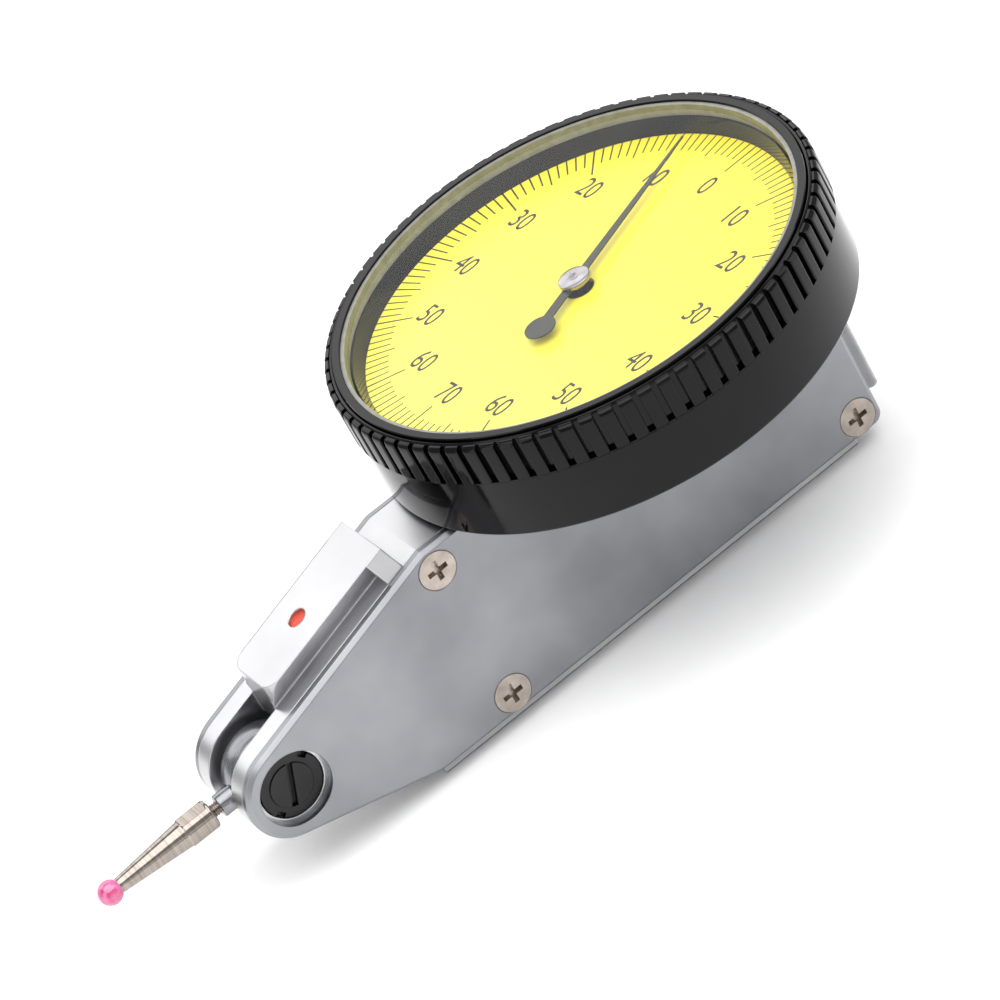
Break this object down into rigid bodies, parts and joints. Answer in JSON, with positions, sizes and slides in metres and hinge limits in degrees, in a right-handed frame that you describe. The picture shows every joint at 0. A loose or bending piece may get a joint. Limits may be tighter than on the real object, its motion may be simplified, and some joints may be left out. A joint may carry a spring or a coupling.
{
  "type": "dial test indicator",
  "caption": "Lever-type dial test indicator with a ruby ball stylus on a swivelling hub, a geared movement, a yellow dial in a knurled turning bezel and dovetail rails for clamping.",
  "frame": {"origin": "on the dial axis, at the flat face of the bottom dovetail rail", "axes": "+X towards the contact point, +Z out through the crystal, +Y to the left side cover; the stylus lies along +X at rest"},
  "size_m": [0.0748, 0.04, 0.0272],
  "materials": {
    "plated_steel": "satin chrome plate",
    "nickel_screw": "nickel plate",
    "black_steel": "black oxide",
    "brass": "machined",
    "ruby": "polished synthetic ruby",
    "polished_steel": "ground and polished steel",
    "black_gloss_plastic": "gloss moulded plastic",
    "rubber": "moulded rubber",
    "yellow_dial": "matt enamel with black print",
    "crystal": "clear",
    "red_enamel": "gloss enamel",
    "aluminium": "turned"
  },
  "bodies": {
    "body": {"body_frame": "plated_steel", "side_cover_left": "plated_steel", "side_cover_right": "plated_steel", "cover_screws_left": "nickel_screw", "cover_screws_right": "nickel_screw", "pivot_screw_left": "black_steel", "pivot_screw_right": "black_steel", "pivot_lock_nut_left": "black_steel", "pivot_lock_nut_right": "black_steel", "index_dot": "red_enamel", "movement_plate_left": "brass", "movement_plate_right": "brass", "movement_pillars": "brass", "movement_screws": "nickel_screw", "crown_jewels": "ruby", "sector_jewels": "ruby", "lower_cock": "brass", "cock_jewel": "ruby", "hairspring": "polished_steel", "hairspring_stud": "brass", "dial_base": "aluminium", "dial_base_screws": "nickel_screw", "centre_bush": "brass", "bezel_o_ring": "rubber"},
    "bezel": {"bezel_ring": "black_gloss_plastic", "bezel_retaining_ring": "black_steel", "dial_face": "yellow_dial", "dial_retaining_ring": "brass", "crystal": "crystal", "crystal_gasket": "rubber"},
    "pointer": {"pointer_arbor": "polished_steel", "pointer_needle": "black_steel", "pointer_hub": "polished_steel", "hairspring_collet": "brass"},
    "crown": {"crown_arbor": "polished_steel", "crown_gear": "brass"},
    "sector": {"sector_gear": "brass", "sector_arbor": "polished_steel", "sector_pin": "polished_steel"},
    "lever": {"lever_yoke": "polished_steel", "pivot_shaft": "polished_steel", "friction_washers": "polished_steel"},
    "contact_point": {"contact_hub": "polished_steel", "stylus": "polished_steel", "ruby_ball": "ruby"}
  },
  "joints": [
    {"name": "bezel_turn", "type": "hinge", "parent": "body", "child": "bezel", "pos_m": [0, 0, 0.02], "axis": [0, 0, 1], "continuous": true},
    {"name": "pointer_spin", "type": "hinge", "parent": "body", "child": "pointer", "pos_m": [0, 0, 0.02], "axis": [0, 0, -1], "range_deg": [0, 390], "stiffness_Nm_per_rad": 0.000001, "springref_deg": -257.83},
    {"name": "crown_spin", "type": "hinge", "parent": "body", "child": "crown", "pos_m": [0, 0, 0.0084], "axis": [0, -1, 0], "range_deg": [0, 78]},
    {"name": "sector_swing", "type": "hinge", "parent": "body", "child": "sector", "pos_m": [0.01, 0, 0.0084], "axis": [0, 1, 0], "range_deg": [0, 8.67]},
    {"name": "lever_swing", "type": "hinge", "parent": "body", "child": "lever", "pos_m": [0.03885, 0, 0.0084], "axis": [0, -1, 0], "range_deg": [0, 0.57671]},
    {"name": "contact_swivel", "type": "hinge", "parent": "lever", "child": "contact_point", "pos_m": [0.03885, 0, 0.0084], "axis": [0, -1, 0], "range_deg": [-95, 95]}
  ],
  "couplings": [
    {"joint": "crown_spin", "follows": "pointer_spin", "ratio": 0.2},
    {"joint": "sector_swing", "follows": "pointer_spin", "ratio": 0.022222},
    {"joint": "lever_swing", "follows": "pointer_spin", "ratio": 0.0014787}
  ]
}
